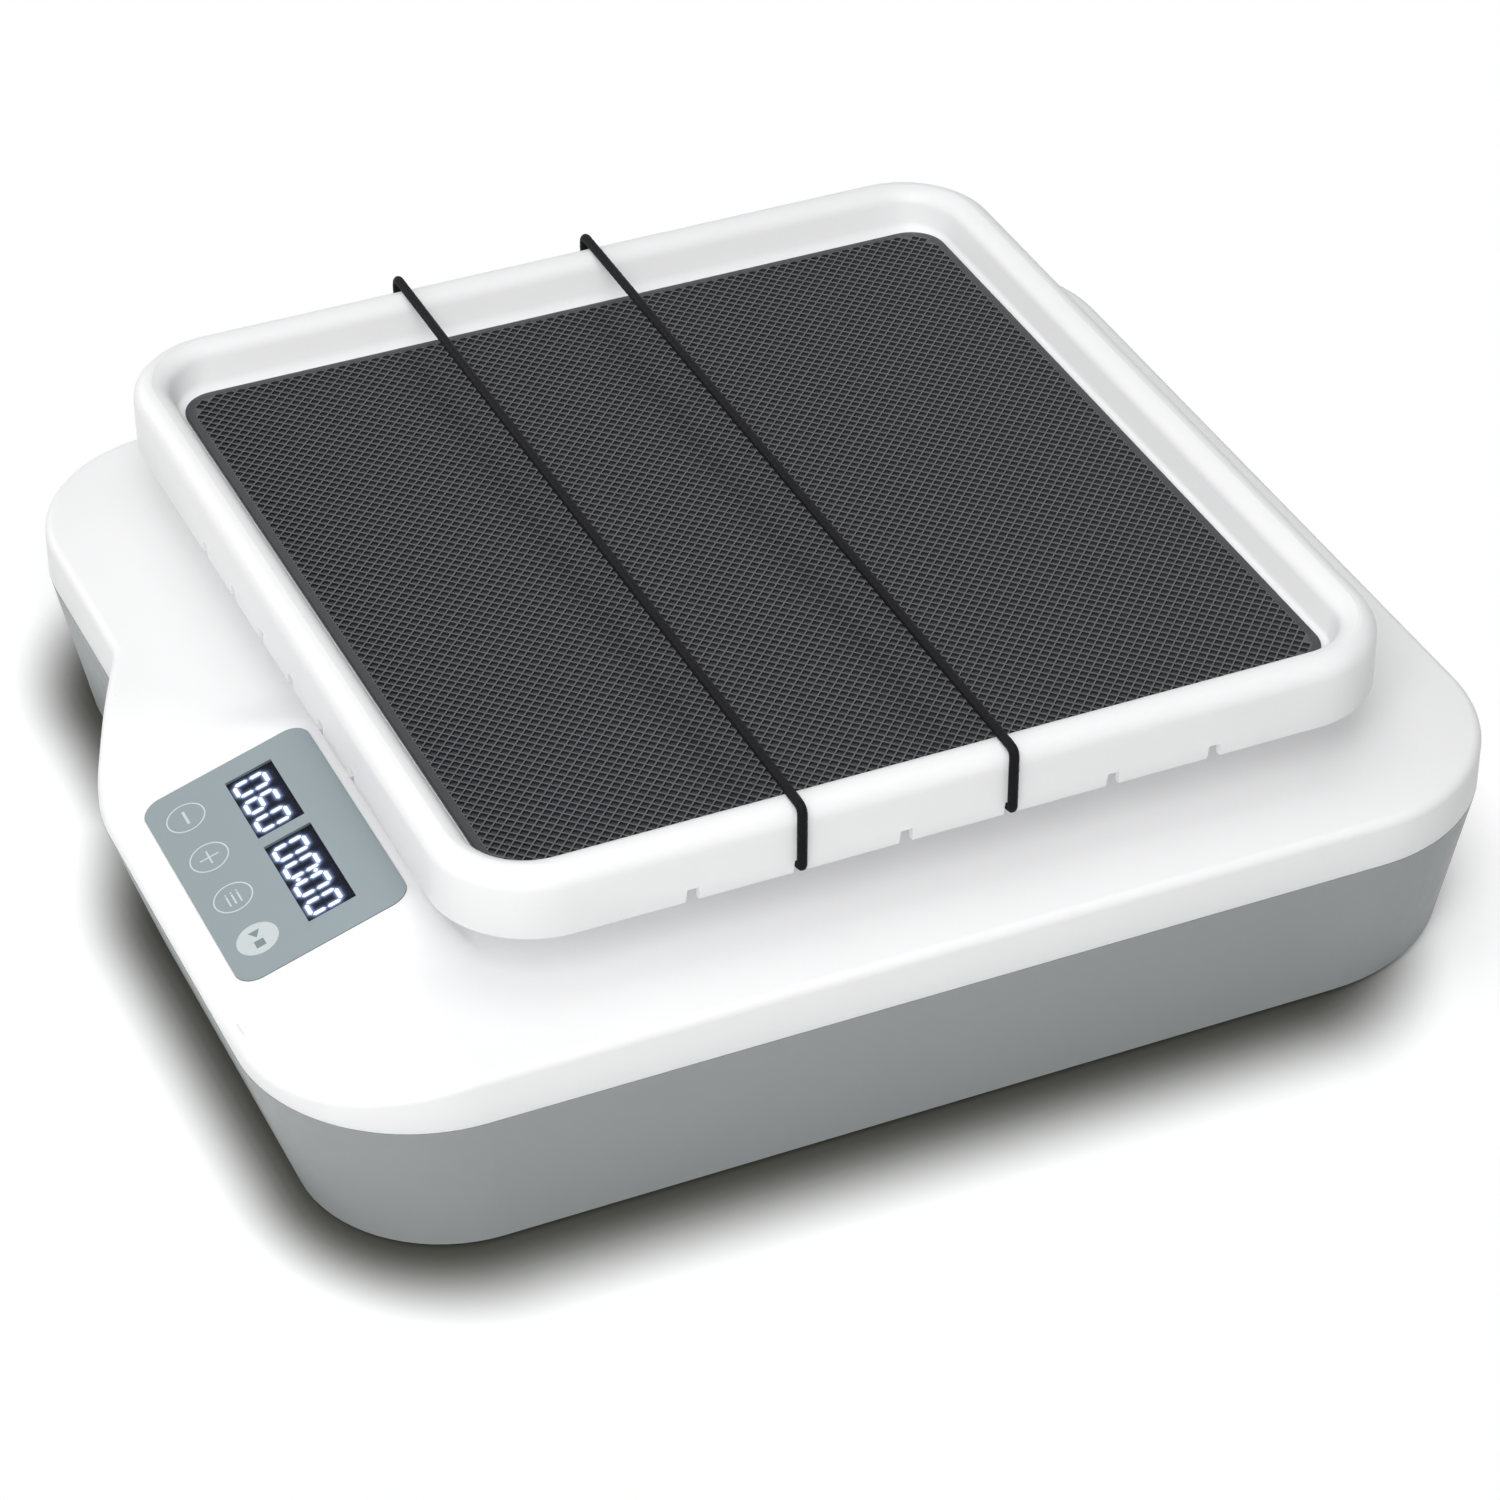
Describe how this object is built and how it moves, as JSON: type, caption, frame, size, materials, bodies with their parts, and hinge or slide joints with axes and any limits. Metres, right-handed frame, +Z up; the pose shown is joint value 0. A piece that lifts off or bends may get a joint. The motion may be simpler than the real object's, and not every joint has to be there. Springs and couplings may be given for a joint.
{
  "type": "benchtop shaker",
  "caption": "Linear benchtop shaker: a shaking tray with a textured rubber mat and elastic hold-down cords over a tapered base with a tilted console.",
  "frame": {"origin": "middle of the machine's bounding rectangle, at the level of the bench under the feet", "axes": "+X to the operator's right and along the shaking stroke, -Y towards the operator, +Z up"},
  "size_m": [0.3468, 0.3899, 0.1161],
  "materials": {
    "white_shell": "satin moulded ABS",
    "grey_shell": "satin moulded ABS",
    "black_rubber": "matt moulded rubber",
    "elastic": "elastic cord",
    "panel_grey": "gloss overlay",
    "key_light": "gloss overlay",
    "display_black": "black filter",
    "display_lit": "lit strokes",
    "clear_window": "clear acrylic",
    "black_plastic": "moulded nylon",
    "circuit_board": "glass-fibre board",
    "steel": "zinc-plated steel",
    "aluminium": "machined",
    "nylon": "turned nylon",
    "belt_rubber": "belt",
    "motor_paint": "painted steel can",
    "supply_case": "steel case",
    "components": "moulded",
    "brass": "plated"
  },
  "bodies": {
    "housing": {"base_shell": "grey_shell", "board_components": "components", "board_standoffs": "nylon", "bracket_screws": "steel", "chassis_plate": "steel", "chassis_screws": "steel", "control_panel": "panel_grey", "crank_bearing": "aluminium", "display_board": "circuit_board", "display_screws": "steel", "drive_belt": "belt_rubber", "guide_rods": "steel", "housing_screws": "steel", "inlet_pins": "brass", "key_switches": "black_plastic", "main_board": "circuit_board", "main_board_screws": "steel", "mains_inlet": "black_plastic", "motor_bracket": "steel", "motor_housing": "motor_paint", "motor_screws": "steel", "power_supply": "supply_case", "rod_supports": "aluminium", "rubber_feet": "black_rubber", "speed_digits": "display_lit", "speed_display": "display_black", "speed_window": "clear_window", "support_screws": "steel", "switch_bezel": "black_plastic", "timer_digits": "display_lit", "timer_display": "display_black", "timer_window": "clear_window", "top_cover": "white_shell"},
    "carriage": {"carriage_plate": "aluminium", "linear_bearings": "aluminium", "yoke_plate": "aluminium", "yoke_screws": "steel", "platform_posts": "aluminium", "shaking_tray": "white_shell", "tray_screws": "steel", "tray_mat": "black_rubber", "front_cord": "elastic", "rear_cord": "elastic", "cord_ferrules": "aluminium"},
    "crank": {"crank_shaft": "steel", "crank_pulley": "aluminium", "crank_pin": "steel", "counterweight": "steel"},
    "roller": {"pin_roller": "nylon"},
    "rotor": {"motor_shaft": "steel", "motor_pulley": "aluminium"},
    "minus": {"minus_key": "panel_grey"},
    "plus": {"plus_key": "panel_grey"},
    "mode": {"mode_key": "panel_grey"},
    "start_stop": {"start_key": "key_light"},
    "rocker": {"switch_rocker": "black_plastic"}
  },
  "joints": [
    {"name": "tray_slide", "type": "slide", "parent": "housing", "child": "carriage", "axis": [1, 0, 0], "range_m": [-0.005, 0.005]},
    {"name": "crank_turn", "type": "hinge", "parent": "housing", "child": "crank", "pos_m": [0, 0.0092, 0.03], "axis": [0, 0, 1], "range_deg": [-90, 90]},
    {"name": "roller_spin", "type": "hinge", "parent": "crank", "child": "roller", "pos_m": [0, 0.0042, 0.034], "axis": [0, 0, 1], "continuous": true},
    {"name": "motor_turn", "type": "hinge", "parent": "housing", "child": "rotor", "pos_m": [-0.122, 0.0092, 0.03], "axis": [0, 0, 1], "range_deg": [-270, 270]},
    {"name": "minus_press", "type": "slide", "parent": "housing", "child": "minus", "axis": [0, 0.309, -0.9511], "range_m": [0, 0.0004], "stiffness_N_per_m": 3000},
    {"name": "plus_press", "type": "slide", "parent": "housing", "child": "plus", "axis": [0, 0.309, -0.9511], "range_m": [0, 0.0004], "stiffness_N_per_m": 3000},
    {"name": "mode_press", "type": "slide", "parent": "housing", "child": "mode", "axis": [0, 0.309, -0.9511], "range_m": [0, 0.0004], "stiffness_N_per_m": 3000},
    {"name": "start_press", "type": "slide", "parent": "housing", "child": "start_stop", "axis": [0, 0.309, -0.9511], "range_m": [0, 0.0004], "stiffness_N_per_m": 3000},
    {"name": "switch_tilt", "type": "hinge", "parent": "housing", "child": "rocker", "pos_m": [0.03, 0.1892, 0.0262], "axis": [-1, 0, 0], "range_deg": [0, 16]}
  ],
  "couplings": [
    {"joint": "crank_turn", "follows": "tray_slide", "rad_per_m": 314.16},
    {"joint": "motor_turn", "follows": "tray_slide", "rad_per_m": 942.48}
  ]
}
